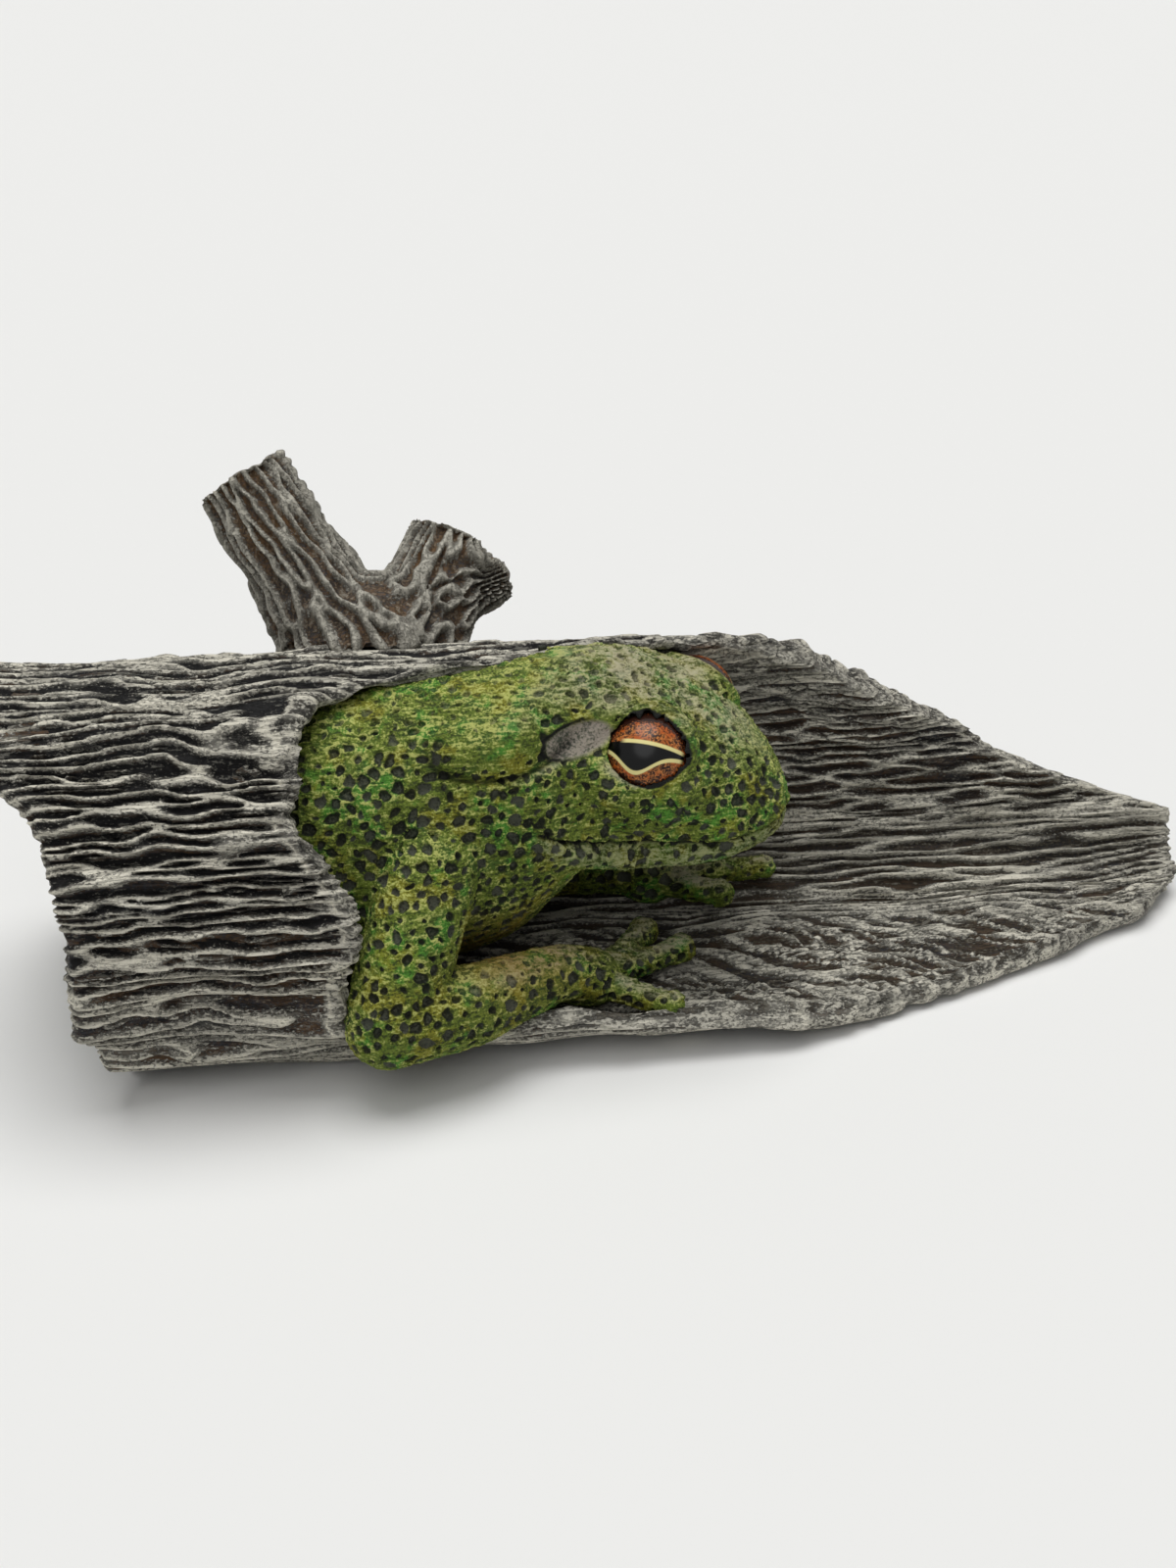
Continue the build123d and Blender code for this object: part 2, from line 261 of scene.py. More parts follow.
@dataclass
class Paint:
    """The nodes of a material or of the world."""

    name: str
    owner: Owner = Owner.MATERIAL

    def __post_init__(self) -> None:
        """Start from a plain shader."""
        store, shader = self.owner.value
        self.material = getattr(bpy.data, store).new(self.name)
        self.material.use_nodes = True
        self.tree = self.material.node_tree
        self.shader = self.tree.nodes[shader]

    def join(self, socket: bpy.types.NodeSocket, value: Any) -> None:
        """Link a signal to a socket, or set its value.

        Args:
            socket: Input of a node.
            value: Signal, number, vector or colour code.
        """
        if isinstance(value, Signal):
            self.tree.links.new(value.socket, socket)
        else:
            socket.default_value = (*rgb(value), 1.0) if isinstance(value, str) else value

    def add(self, kind: str, settings: dict[str, Any], sockets: dict[Any, Any], out: Any = 0) -> Signal:
        """Add a node.

        Args:
            kind: The node's type.
            settings: Its properties, set first.
            sockets: Values or signals by the name or number of an input.
            out: Name or number of the output to return.

        Returns:
            The output as a signal.
        """
        node = self.tree.nodes.new(kind)
        for name, value in settings.items():
            setattr(node, name, value)
        for name, value in sockets.items():
            self.join(node.inputs[name], value)
        return Signal(self, node.outputs[out])

    def finish(self, **sockets: Any) -> bpy.types.Material | bpy.types.World:
        """Set the shader.

        Args:
            sockets: Values or signals by the name of an input, with _ for its spaces.

        Returns:
            The material or the world.
        """
        for name, value in sockets.items():
            self.join(self.shader.inputs[name.replace("_", " ")], value)
        return self.material

    def attribute(self, name: str) -> Signal:
        """Number kept on the mesh's points."""
        return self.add("ShaderNodeAttribute", {"attribute_name": name}, {}, "Fac")

    def ray(self, kind: str) -> Signal:
        """1 for light rays of a kind, else 0."""
        return self.add("ShaderNodeLightPath", {}, {}, kind)

    def where(self, stretch: Triple = EVEN, shift: float = 0.0) -> Signal:
        """Find the place on the object.

        Args:
            stretch: How far to draw the pattern out along each axis.
            shift: How far to move it.

        Returns:
            The place in millimetres.
        """
        place = self.add("ShaderNodeTexCoord", {}, {}, "Object")
        scale = tuple(1.0 / (MM * share) for share in stretch)
        return self.add("ShaderNodeMapping", {}, {"Vector": place, "Scale": scale, "Location": (shift,) * 3})

    def grain(self, size: float, stretch: Triple = EVEN, detail: float = 3.0, shift: float = 0.0) -> Signal:
        """Noise of 0 to 1 with features of a size in millimetres."""
        sockets = {"Vector": self.where(stretch, shift), "Scale": 1.0 / size, "Detail": detail, "Roughness": 0.6}
        return self.add("ShaderNodeTexNoise", {}, sockets, 0)

    def speckle(self, size: float, stretch: Triple = EVEN, detail: float = 3.0, shift: float = 0.0) -> Signal:
        """Noise of about -1 to 1 round zero with features of a size in millimetres."""
        return (self.grain(size, stretch, detail, shift) - 0.5) * 5.0

    def layers(self, base: Signal | str, *coats: tuple[Signal | str, Signal]) -> Signal:
        """Lay coats over a base colour.

        Args:
            base: Signal or colour code.
            coats: Colours from the lowest to the top one, each with its cover from 0 to 1.

        Returns:
            The colour that shows.
        """
        for colour, cover in coats:
            base = self.add("ShaderNodeMix", {"data_type": "RGBA"}, {0: cover, 6: base, 7: colour}, 2)
        return base

    def bump(self, height: Signal, depth: float) -> Signal:
        """Normal from a height of 0 to 1 that stands for a depth in millimetres."""
        return self.add("ShaderNodeBump", {}, {"Height": height, "Distance": depth * MM, "Strength": 1.0})


@dataclass
class Shape:
    """A new piece's mesh, read and written as rows of millimetres."""

    item: bpy.types.Object

    @property
    def mesh(self) -> bpy.types.Mesh:
        """The piece's mesh."""
        return self.item.data

    def _read(self, field: str) -> Array:
        """Read three numbers of each point.

        Args:
            field: What to read.

        Returns:
            A row for each point.
        """
        flat = np.empty(len(self.mesh.vertices) * 3)
        self.mesh.vertices.foreach_get(field, flat)
        return flat.reshape(-1, 3)

    def points(self) -> Array:
        """Places of the points in millimetres."""
        return self._read("co") / MM

    def normals(self) -> Array:
        """Outward directions at the points."""
        return self._read("normal")

    def move(self, points: Array) -> None:
        """Put the points at places in millimetres."""
        self.mesh.vertices.foreach_set("co", (points * MM).ravel())
        self.mesh.update()

    def keep(self, **columns: Array) -> None:
        """Keep numbers on the points, for the finish to read.

        Args:
            columns: The numbers by name, one for each point.
        """
        for name, values in columns.items():
            field = self.mesh.attributes.new(name, "FLOAT", "POINT")
            field.data.foreach_set("value", values.astype(np.float32))

    def activate(self) -> None:
        """Select this object alone."""
        deselect()
        self.item.select_set(True)
        bpy.context.view_layer.objects.active = self.item

    def modify(self, kind: str, **settings: Any) -> None:
        """Add a modifier and apply it.

        Args:
            kind: The modifier's type.
            settings: Its properties.
        """
        self.activate()
        modifier = self.item.modifiers.new(kind.lower(), kind)
        for name, value in settings.items():
            setattr(modifier, name, value)
        bpy.ops.object.modifier_apply(modifier=modifier.name)

    def edit(self, *steps: tuple[Any, dict[str, Any]], pick: Pick = Pick.ALL) -> None:
        """Run edit-mode operators on the mesh.

        Args:
            steps: Operators with their settings.
            pick: What is selected at the start.
        """
        self.activate()
        bpy.ops.object.mode_set(mode="EDIT")
        if pick is not Pick.AS_IS:
            bpy.ops.mesh.select_all(action=pick.value)
        for operator, settings in steps:
            operator(**settings)
        bpy.ops.object.mode_set(mode="OBJECT")

    def finish(self, material: bpy.types.Material, slot: str, node: str, angle: float) -> "Shape":
        """Dress the piece and let it stand for a CAD node.

        Args:
            material: The piece's finish.
            slot: The record's material slot; not used.
            node: The CAD node that the piece stands for.
            angle: Degrees beyond which an edge isn't shaded smooth.

        Returns:
            The piece itself.
        """
        self.activate()
        bpy.ops.object.shade_smooth_by_angle(angle=math.radians(angle))
        self.mesh.materials.clear()
        self.mesh.materials.append(material)
        self.mesh.polygons.foreach_set("material_index", [0] * len(self.mesh.polygons))
        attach(self.item, "root")
        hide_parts(node)
        return self


def deselect() -> None:
    """Select nothing."""
    bpy.ops.object.select_all(action="DESELECT")


def placed(name: str, data: bpy.types.ID) -> bpy.types.Object:
    """Put a new object with its data into the scene.

    Args:
        name: The object's name.
        data: Its mesh, camera or light.

    Returns:
        The object.
    """
    item = bpy.data.objects.new(name, data)
    bpy.context.scene.collection.objects.link(item)
    return item


def solid_tree(node: str) -> BVHTree:
    """Search tree over a CAD node's faces."""
    mesh = frame["nodes"][node].data
    return BVHTree.FromPolygons([v.co for v in mesh.vertices], [p.vertices for p in mesh.polygons])


def copied(name: str, nodes: Sequence[str]) -> Shape:
    """Make a new piece from merged copies of CAD nodes.

    Args:
        name: The new piece's name.
        nodes: CAD nodes to copy.

    Returns:
        The joined piece.
    """
    first, *others = (placed(name, frame["nodes"][node].data.copy()) for node in nodes)
    shape = Shape(first)
    shape.activate()
    for item in others:
        item.select_set(True)
    if others:
        bpy.ops.object.join()
    first.name = name
    shape.edit((bpy.ops.mesh.remove_doubles, {"threshold": 0.002 * MM}))
    return shape


@dataclass(frozen=True)
class BarkFinish:
    """Charcoal resin with a brown wash in its grooves, dry-brushed pale ridges and painted black shade under the
    ridges.
    """

    # near-black: painted shade under the ridges, and the dark cracks of the grain
    groove: str = "070606"
    wash: str = "56422f"
    dust: str = "5e5647"
    side: str = "303135"
    grey: str = "75736b"
    ridge: str = "bcb8ab"
    chalk: str = "e4dfce"
    lengthwise: Triple = (8.0, 1.0, 1.0)
    width: float = 1.0
    grit_size: float = 0.4
    patch_size: float = 9.0
    fibre_size: float = 0.8
    roughness: float = 0.7
    relief: float = 0.5

    def make(self, name: str) -> bpy.types.Material:
        """Mix the material; it reads the attributes crest (millimetres from a ridge), flat, inside, and the painted
        shade kept under the ridges.

        Args:
            name: The material's name.

        Returns:
            The material.
        """
        paint = Paint(name)
        border = abs(paint.attribute("crest")) / self.width
        lee = paint.attribute("lee")
        flat = paint.attribute("flat")
        inside = paint.attribute("inside")
        grit = paint.speckle(self.grit_size, (1.6, 1.0, 1.0), 4.0)
        patch = paint.speckle(self.patch_size, (1.8, 1.0, 1.0), 2.0, 40.0)
        fibre = paint.speckle(self.fibre_size, self.lengthwise, 4.0, 12.0)
        ragged = grit * 0.5 + fibre * 0.5
        # the painted shade under the ridges counts as extra depth, so it darkens the colour there too
        depth = border + ragged * 0.42 + lee * 0.35 - flat * 0.12
        crack = 1.0 - abs(fibre + grit * 0.3).ease(0.02, 0.2)
        hollow = paint.layers(
            self.side,
            (self.wash, (patch * 0.6 + grit * 0.5 + 0.55).ease(0.0, 1.0)),
            (self.dust, inside.ease(0.3, 1.0) * (ragged + 0.5).ease(0.0, 1.0)),
        )
        body = paint.layers(
            self.side,
            (hollow, (depth + grit * 0.15).ease(0.5, 0.85)),
            # painted shade: near-black on the slopes under the ridges, less of it inside the log
            (self.groove, (lee + ragged * 0.3).ease(0.25, 0.85) * (1.0 - inside * 0.5)),
            (self.grey, (fibre * 0.8 + grit * 0.7).ease(0.3, 0.85) * 0.6),
        )
        chalky = (grit * 0.4 + patch * 0.35 + 0.75 - border * 1.2).ease(0.0, 0.85)
        brushed = 1.0 - (depth + grit * 0.4).ease(0.14, 0.6)
        colour = paint.layers(
            self.grey,
            (body, depth.ease(0.36, 0.92)),
            (paint.layers(self.ridge, (self.chalk, chalky)), brushed * (0.96 - inside * 0.2)),
            (self.groove, crack * (0.2 + inside * 0.12)),
        )
        return paint.finish(
            Base_Color=colour,
            Roughness=self.roughness + grit * 0.06,
            Normal=paint.bump(ragged * 0.25 - crack * 0.3, self.relief),
            Specular_IOR_Level=0.2,
        )


@dataclass(frozen=True)
class SkinFinish:
    """Green resin skin with dark pits and yellow-green rims between them."""

    green: str = "67782c"
    moss: str = "425d24"
    leaf: str = "4a8c30"
    olive: str = "8a8428"
    lime: str = "bcc06e"
    earth: str = "b2ab94"
    dusk: str = "2a3216"
    pit: str = "191b17"
    silt: str = "4d4f47"
    # pale band under the mouth line: partly the lower lip's own paler paint, partly painted light falling from
    # below on the throat
    throat: str = "989c76"
    rust: str = "7d4f22"
    ear: str = "9a9186"
    black: str = "10110f"
    grit_size: float = 0.4
    streak_size: float = 0.5
    blotch_size: float = 3.2
    leaf_size: float = 6.0
    olive_size: float = 7.0
    patch_size: float = 8.0
    roughness: float = 0.6
    relief: float = 0.5

    def make(self, name: str) -> bpy.types.Material:
        """Mix the material from what Frog keeps on the skin: pit is in millimetres, the rest are shares.

        Args:
            name: The material's name.

        Returns:
            The material.
        """
        paint = Paint(name)
        pit = paint.attribute("pit")
        top = paint.attribute("top")
        grit = paint.speckle(self.grit_size, detail=5.0)
        streak = paint.speckle(self.streak_size, (4.0, 2.0, 1.0), 4.0, 31.0)
        patch = paint.speckle(self.patch_size, detail=2.0, shift=21.0)
        blotch = paint.speckle(self.blotch_size, shift=63.0)
        strokes = streak * 0.6 + grit * 0.5
        fresh = paint.speckle(self.leaf_size, shift=80.0) + blotch * 0.4
        dull = paint.speckle(self.olive_size, shift=120.0) + blotch * 0.3
        rim = (1.0 - abs(pit + 0.12).ease(0.03, 0.24)) * (blotch * 0.5 + 0.5).ease(0.0, 1.0)
        bright = strokes + rim * 0.45 + top * 0.2 + patch * 0.2
        dry = (strokes * 0.7 + patch * 0.35 + 0.4).ease(0.0, 0.9)
        worn = paint.attribute("stain") + grit * 0.4 + pit.ease(0.15, 0.6) * 0.45
        sunk = (pit + grit * 0.1).ease(-0.06, 0.16)
        mottled = (grit * 0.9 + blotch * 0.6 + 0.25).ease(0.0, 1.0)
        colour = paint.layers(
            self.green,
            (self.moss, (blotch * 0.6 + patch * 0.4).ease(-0.2, 0.5)),
            (self.leaf, fresh.ease(0.1, 0.7) * 0.8),
            (self.olive, dull.ease(0.0, 0.6) * 0.7),
            (self.dusk, (0.0 - strokes - patch * 0.2).ease(-0.05, 0.55) * 0.85),
            (self.lime, bright.ease(0.15, 0.75) * 0.9),
            (self.earth, paint.attribute("crown") * dry * 0.85),
            (self.rust, paint.attribute("rust") * (strokes + patch * 0.3 + 0.6).ease(0.0, 0.8)),
            # partly the lower lip's paler paint, partly painted light from below on the throat
            (self.throat, paint.attribute("throat") * (strokes + 0.4).ease(0.0, 0.8)),
            (paint.layers(self.pit, (self.silt, worn.ease(0.4, 1.2))), sunk * (0.95 - top.ease(0.6, 1.0) * 0.4)),
            (paint.layers(self.ear, (self.silt, mottled)), paint.attribute("ear")),
            (self.black, (paint.attribute("shade") + grit * 0.1).ease(0.3, 0.9)),
        )
        return paint.finish(
            Base_Color=colour,
            Roughness=self.roughness + grit * 0.06,
            Normal=paint.bump(strokes * 0.25, self.relief),
            Specular_IOR_Level=0.15,
        )


@dataclass(frozen=True)
class EyeFinish:
    """Gloss orange iris with a black spindle pupil between two cream lines."""

    iris: str = "ab531f"
    amber: str = "cf8a4a"
    dark: str = "2a1610"
    cream: str = "e0d592"
    black: str = "060606"
    grit_size: float = 0.35
    patch_size: float = 1.6
    line_width: float = 0.062
    roughness: float = 0.22

    def make(self, name: str) -> bpy.types.Material:
        """Mix the material; it reads the attributes ahead and above, in shares of the opening.

        Args:
            name: The material's name.

        Returns:
            The material.
        """
        paint = Paint(name)
        ahead = paint.attribute("ahead")
        above = paint.attribute("above")
        aside = (ahead + 0.2) / 0.5
        floor = (aside * aside * -1.0).exp() * -0.58 - 0.05
        roof = 0.27 - ahead * ahead * 0.14
        grit = paint.grain(self.grit_size, detail=4.0)
        patch = paint.grain(self.patch_size, shift=9.0)
        reach = (ahead * ahead + above * above).power(0.5)
        speckle = (grit * 0.8 + patch * 0.5 + reach.ease(0.75, 1.05) * 0.2).ease(0.55, 0.77)
        lens = (above - floor).least(roof - above).ease(-0.01, 0.03)
        low, high = (1.0 - (abs(above - edge) / self.line_width).ease(0.6, 1.2) for edge in (floor, roof))
        colour = paint.layers(
            self.iris,
            (self.amber, patch.ease(0.35, 0.7)),
            (self.dark, speckle),
            (self.black, lens * (1.0 - ahead.ease(0.86, 0.98))),
            (self.cream, low.most(high * ahead.ease(-0.68, -0.5)) * (1.0 - ahead.ease(0.78, 0.9))),
        )
        return paint.finish(Base_Color=colour, Roughness=self.roughness, Specular_IOR_Level=0.2)


@dataclass(frozen=True)
class FeltFinish:
    """Dark pressed felt."""

    fibre: str = "23302a"
    fleck: str = "36463d"

    def make(self, name: str) -> bpy.types.Material:
        """Mix the material.

        Args:
            name: The material's name.

        Returns:
            The material.
        """
        paint = Paint(name)
        hair = paint.grain(0.4, detail=5.0)
        colour = paint.layers(self.fibre, (self.fleck, hair.ease(0.35, 0.7)))
        return paint.finish(Base_Color=colour, Roughness=0.95, Normal=paint.bump(hair, 0.3), Sheen_Weight=0.3)


@dataclass(frozen=True)
class PinFinish:
    """Drawn steel wire."""

    steel: str = "9a9a98"

    def make(self, name: str) -> bpy.types.Material:
        """Mix the material.

        Args:
            name: The material's name.

        Returns:
            The material.
        """
        paint = Paint(name)
        scratch = paint.grain(0.3, (1.0, 8.0, 8.0))
        return paint.finish(Base_Color=self.steel, Metallic=1.0, Roughness=0.3 + scratch * 0.2)


@dataclass
class HollowLog:
    """The log casting: ridged bark outside, torn grain inside."""

    columns: int = 520
    outside_rows: int = 90
    inside_rows: int = 80
    rim_rows: int = 8
    ring_at: float = -60.0
    axis_height: float = 28.0
    far: float = 200.0
    samples: int = 2880
    kink_steps: int = 6
    kink: float = 0.12
    ridge_gap: float = 2.7
    grain_gap: float = 2.1
    groove_depth: float = 1.9
    grain_depth: float = 1.3
    ragged: float = 1.4
    blunt: float = 2.6
    wave: float = 2.2
    splay: float = 0.4
    rim_bulge: float = 1.2
    floor_top: float = 22.0
    floor_full: float = 9.0
    front_from: float = 10.0
    front_full: float = 3.0
    front_stretch: float = 0.35
    mouth_length: float = 100.0
    mouth_steps: int = 51
    straight: float = 0.45
    follow: float = 0.55
    shade_angle: float = 80.0
    main: Ridges = Ridges(1.3, 3.3, 17.0)
    minor: Ridges = Ridges(2.6, 5.7, 10.0)
    grain: Ridges = Ridges(1.7, 7.3, 9.0)
    floor_grain: Ridges = Ridges(1.8, 8.6, 24.0)
    front_grain: Ridges = Ridges(1.1, 4.6, 9.0)

    def ridges(
        self, angles: Array, radii: Array, way: float, spacing: float
    ) -> tuple[Array, Array]:
        """Find the solid's lengthwise ridges on one face of the wall.

        Args:
            angles: Directions from the axis, over one turn.
            radii: The face's distance from the axis in each.
            way: 1 where ridges point outwards, -1 where they point inwards.
            spacing: Rough distance between ridges; wide gaps get more of them.

        Returns:
            The ridges' angles and numbers.
        """
        bend = np.roll(radii, self.kink_steps) + np.roll(radii, -self.kink_steps) - 2.0 * radii
        peaks = [
            i for i in range(self.kink_steps, len(radii) - self.kink_steps)
            if -way * bend[i] > self.kink
            and -way * bend[i] >= (-way * bend[i - self.kink_steps:i + self.kink_steps + 1]).max()
        ]
        knots, numbers = [float(angles[0])], [0.0]
        for peak in [*peaks, len(angles) - 1]:
            gap = math.dist(*(
                (radius * math.cos(angle), radius * math.sin(angle))
                for angle, radius in ((angles[peak], radii[peak]), (knots[-1], np.interp(knots[-1], angles, radii)))
            ))
            steps = max(1, round(gap / spacing))
            for step in range(1, steps + 1):
                knots.append(knots[-1] + (angles[peak] - knots[-1]) / (steps - step + 1))
                numbers.append(numbers[-1] + 1.0)
        return np.array(knots), np.array(numbers)

    def measure(self) -> Wall:
        """Read the solid's wall at even steps round its outside.

        Returns:
            For each column: place round the log, direction from the axis, radius and ridge number of both faces,
            and where the strip starts and ends.
        """
        tree = solid_tree("hollow_log")
        centre = Vector((self.ring_at, 0.0, self.axis_height)) * MM
        fine = np.linspace(0.0, 2.0 * math.pi, self.samples + 1) - math.pi / 2.0
        hits = []
        for angle in fine:
            way = Vector((0.0, math.cos(angle), math.sin(angle)))
            hits.append((tree.ray_cast(centre + way * self.far * MM, -way)[0], tree.ray_cast(centre, way)[0]))
        outer, inner = (np.array([(hit - centre).length / MM for hit in face]) for face in zip(*hits))
        path = np.stack([outer * np.cos(fine), outer * np.sin(fine)], axis=1)
        length = np.concatenate([[0.0], np.cumsum(np.linalg.norm(np.diff(path, axis=0), axis=1))])
        around = np.linspace(0.0, length[-1], self.columns, endpoint=False)
        angles = np.interp(around, length, fine)
        wall = {"around": around}
        faces = (("outer", outer, 1.0, self.ridge_gap), ("inner", inner, -1.0, self.grain_gap))
        for name, radii, way, spacing in faces:
            knots, numbers = self.ridges(fine, radii, way, spacing)
            log.info("%s face: %d ridges", name, len(knots))
            wall[name] = np.interp(angles, knots, np.interp(knots, fine, radii))
            wall[name + "_ridge"] = np.interp(angles, knots, numbers)
        wall["way"] = np.stack([np.zeros_like(angles), np.cos(angles), np.sin(angles)], axis=1)
        starts, ends = [], []
        for way, middle in zip(wall["way"], (wall["outer"] + wall["inner"]) / 2.0):
            place = Vector((0.0, way[1] * middle, way[2] * middle + self.axis_height)) * MM
            reach = Vector((self.far * MM, 0.0, 0.0))
            starts.append(tree.ray_cast(place - reach, reach.normalized())[0].x / MM)
            ends.append(tree.ray_cast(place + reach, -reach.normalized())[0].x / MM)
        wall["start"], wall["end"] = np.array(starts), np.array(ends)
        return wall

    def profile(self) -> tuple[Array, Array, Array]:
        """Follow the wall along its outside, over the torn rim, back inside it and over the near rim.

        Returns:
            For each row: share of the way along the log, share of the way through the wall, and bulge of a rim.
        """
        turn = np.linspace(0.0, math.pi, self.rim_rows + 2)[1:-1]
        runs = (
            (np.linspace(0.0, 1.0, self.outside_rows), 0.0, 0.0),
            (1.0, (1.0 - np.cos(turn)) / 2.0, np.sin(turn)),
            (np.linspace(1.0, 0.0, self.inside_rows), 1.0, 0.0),
            (0.0, (1.0 + np.cos(turn)) / 2.0, -np.sin(turn)),
        )
        along, depth, bulge = zip(*(np.broadcast_arrays(*run) for run in runs))
        return np.concatenate(along), np.concatenate(depth), np.concatenate(bulge)

    def torn_ends(self, wall: Wall) -> tuple[Array, Array]:
        """Fray both ends of the wall.

        Args:
            wall: The measured wall.

        Returns:
            Where each column starts and ends, in millimetres along the log.
        """
        around = wall["around"]
        tear = 0.4 * wander(around / 2.3, 4.0, 0.0) + wander(around / 7.0, 8.0, 0.0)
        chip = 0.5 * wander(around / 2.6, 14.0, 0.0) + wander(around / 8.0, 18.0, 0.0)
        end = wall["end"] + (tear - 0.8) * self.ragged
        return wall["start"] + chip * self.ragged * 0.7, np.minimum(end, end.max() - self.blunt - chip * 0.6)

    def fan(self, column: Array, x: Array, wall: Wall) -> Array:
        """Draw the floor's grain in towards the torn tip.

        Args:
            column: Column of each point.
            x: Millimetres along the log.
            wall: The measured wall.

        Returns:
            Ridge number at each point, with the front edge's bend followed in part.
        """
        numbers = wall["inner_ridge"]
        tip = int(np.argmax(wall["end"]))
        places = np.linspace(0.0, self.mouth_length, self.mouth_steps)
        front = np.array([int(np.argmax(wall["end"][: tip + 1] >= place)) for place in places])
        span = np.maximum(numbers[tip] - np.interp(x, places, numbers[front]), 4.0)
        full = numbers[tip] - numbers[front[0]]
        seat = numbers[column]
        drawn = numbers[tip] - (numbers[tip] - seat) * (self.straight + self.follow * full / span)
        return np.where(seat < numbers[tip], drawn, seat)

    def bark(self, x: Array, ridge: Array) -> Array:
        """Lay ridges on the outside, with small ones where the main ones leave a wide groove.

        Args:
            x: Millimetres along the log.
            ridge: Number of the solid's ridge at each point.

        Returns:
            Distance from the nearest ridge.
        """
        outer, minor = (ridges.away(x, ridge, self.ridge_gap) for ridges in (self.main, self.minor))
        wide = smooth(0.9, 1.7, np.abs(outer))
        return outer * (1.0 - wide) + np.minimum(np.abs(outer), np.abs(minor) + 0.32) * wide * np.sign(outer)

    def torn_grain(
        self, column: Array, x: Array, wall: Wall, floor: Array
    ) -> Array:
        """Lay grain inside, drawn to the tip on the floor and splayed at the floor's front.

        Args:
            column: Column of each point.
            x: Millimetres along the log.
            wall: The measured wall.
            floor: 1 on the floor, 0 on the wall above it.

        Returns:
            Distance from the nearest ridge of the grain.
        """
        across = wall["way"][column, 1]
        numbers = wall["inner_ridge"]
        drawn = self.fan(column, x, wall)
        splayed = numbers[column] - np.where(across < 0.0, numbers[-1] + 1.0, 0.0) + self.splay / self.grain_gap * x
        ahead = smooth(self.front_from, self.front_full, across * wall["inner"][column])
        inner = self.grain.away(x, drawn, self.grain_gap) * (1.0 - floor)
        inner += self.floor_grain.away(x, drawn, self.grain_gap) * floor * (1.0 - ahead)
        return inner + self.front_grain.away(x * self.front_stretch, splayed, self.grain_gap) * floor * ahead

    def build(self, finish: BarkFinish) -> Shape:
        """Model the log from a grid that is wrapped round the solid's wall and carved.

        Args:
            finish: The bark's colours.

        Returns:
            The log's piece.
        """
        wall = self.measure()
        along, depth, bulge = self.profile()
        rows = len(along)
        deselect()
        bpy.ops.mesh.primitive_grid_add(x_subdivisions=rows, y_subdivisions=self.columns)
        shape = Shape(bpy.context.object)
        shape.item.name = "log_bark"
        column = np.repeat(np.arange(self.columns + 1) % self.columns, rows + 1)
        row = np.tile(np.arange(rows + 1) % rows, self.columns + 1)
        along, depth, bulge = along[row], depth[row], bulge[row]
        start, end = (ends[column] for ends in self.torn_ends(wall))
        way, outside, within, around = (wall[name][column] for name in ("way", "outer", "inner", "around"))
        thickness = outside - within
        x = start + along * (end - start) + bulge * self.rim_bulge
        inside = smooth(0.3, 0.7, depth)
        floor = smooth(self.floor_top, self.floor_full, self.axis_height + way[:, 2] * within)
        outer = self.bark(x, wall["outer_ridge"][column])
        inner = self.torn_grain(column, x, wall, floor)
        crest = outer * (1.0 - inside) + inner * inside
        crest = crest + np.sign(crest) * inside * (0.16 - 0.11 * floor - 0.08 * floor * smooth(50.0, 90.0, x))
        torn = smooth(2.5, 0.3, end - x)
        crest = crest * (1.0 - torn) + (0.05 + 0.75 * np.minimum(np.abs(crest), 0.55)) * torn
        place = np.stack([x, around, inside * 90.0], axis=1)
        worn = smooth(0.1, 0.5, ripple(place / np.array([16.0, 6.0, 20.0]) + 2.0))
        groove = self.groove_depth * smooth(0.2, 1.0, np.abs(outer) - 0.25 * worn) * (1.0 - 0.4 * worn)
        grain = self.grain_depth * smooth(0.08, 0.55, np.abs(inner)) * (1.0 - 0.15 * floor)
        carve = np.minimum(groove * (1.0 - inside) + grain * inside, thickness * 0.34)
        carve = carve * (0.5 + 0.5 * smooth(0.0, 5.0, np.minimum(x - start, end - x)))
        wave = ripple(place / np.array([19.0, 10.0, 10.0])) * self.wave
        height = 0.10 * ripple(place / np.array([7.0, 0.9, 10.0])) + wave - carve
        height = height * (1.0 - smooth(0.86, 0.96, -way[:, 2]) * (1.0 - inside))
        points = way * (outside - depth * thickness + height * (1.0 - 2.0 * depth))[:, None]
        points[:, 0] = x + bulge * height
        points[:, 2] = np.maximum(points[:, 2] + self.axis_height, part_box("hollow_log")[0][2] / MM)
        shape.move(points)
        # Painted shade: where carved slopes near a ridge face down more than the bare wall, the finish paints them
        # near-black as shade under the ridges.
        tilt = shape.normals()[:, 2] - way[:, 2] * (1.0 - 2.0 * inside)
        shape.keep(
            lee=smooth(0.05, 0.6, -tilt) * smooth(0.2, 0.6, np.abs(crest)),
            crest=crest,
            flat=worn,
            inside=inside * (0.45 + 0.55 * floor),
        )
        shape.edit(
            (bpy.ops.mesh.remove_doubles, {"threshold": 0.001 * MM}),
            (bpy.ops.mesh.normals_make_consistent, {"inside": False}),
        )
        return shape.finish(finish.make("bark"), "bark", "hollow_log", self.shade_angle)


